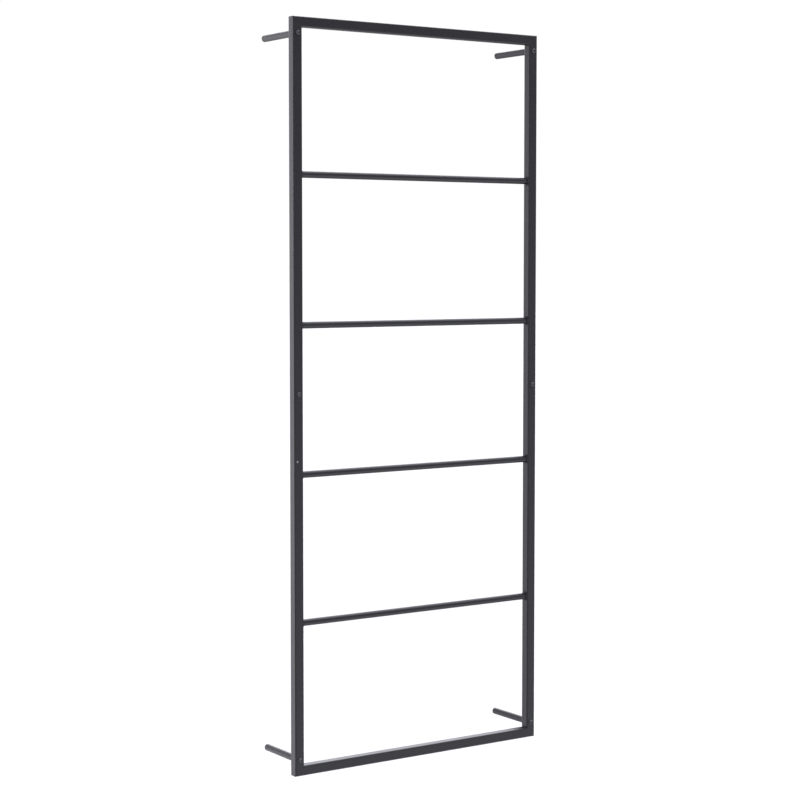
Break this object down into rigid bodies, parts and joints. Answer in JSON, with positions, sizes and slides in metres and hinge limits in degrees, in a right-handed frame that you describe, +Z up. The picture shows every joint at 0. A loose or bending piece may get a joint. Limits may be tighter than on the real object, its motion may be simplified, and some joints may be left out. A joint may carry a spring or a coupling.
{
  "type": "towel rack",
  "caption": "Tall wall-mounted ladder towel rack: square-tube frame with round towel rungs, joined at mid-height and held off the wall on round posts.",
  "frame": {"origin": "on the wall plane, at the centre of the four wall posts' tapped holes", "axes": "+X across the rack to the viewer's right, +Y into the wall, +Z up; the frame's front face looks along -Y"},
  "size_m": [0.6, 0.1333, 1.5],
  "materials": {
    "powder_coated_steel": "satin black powder coat with a very fine orange peel",
    "black_screw_steel": "black zinc, semi-gloss",
    "zinc_plated_steel": "bright zinc plate, hidden inside the stiles"
  },
  "bodies": {
    "root": {"top_rail": "powder_coated_steel", "bottom_rail": "powder_coated_steel", "upper_left_stile": "powder_coated_steel", "upper_right_stile": "powder_coated_steel", "lower_left_stile": "powder_coated_steel", "lower_right_stile": "powder_coated_steel", "towel_rung_1": "powder_coated_steel", "towel_rung_2": "powder_coated_steel", "towel_rung_3": "powder_coated_steel", "towel_rung_4": "powder_coated_steel", "upper_left_wall_post": "powder_coated_steel", "upper_right_wall_post": "powder_coated_steel", "lower_left_wall_post": "powder_coated_steel", "lower_right_wall_post": "powder_coated_steel", "upper_left_post_screw": "black_screw_steel", "upper_right_post_screw": "black_screw_steel", "lower_left_post_screw": "black_screw_steel", "lower_right_post_screw": "black_screw_steel", "left_joint_screw": "black_screw_steel", "right_joint_screw": "black_screw_steel", "left_joint_sleeve": "zinc_plated_steel", "left_joint_nut": "zinc_plated_steel", "right_joint_sleeve": "zinc_plated_steel", "right_joint_nut": "zinc_plated_steel"}
  },
  "joints": []
}
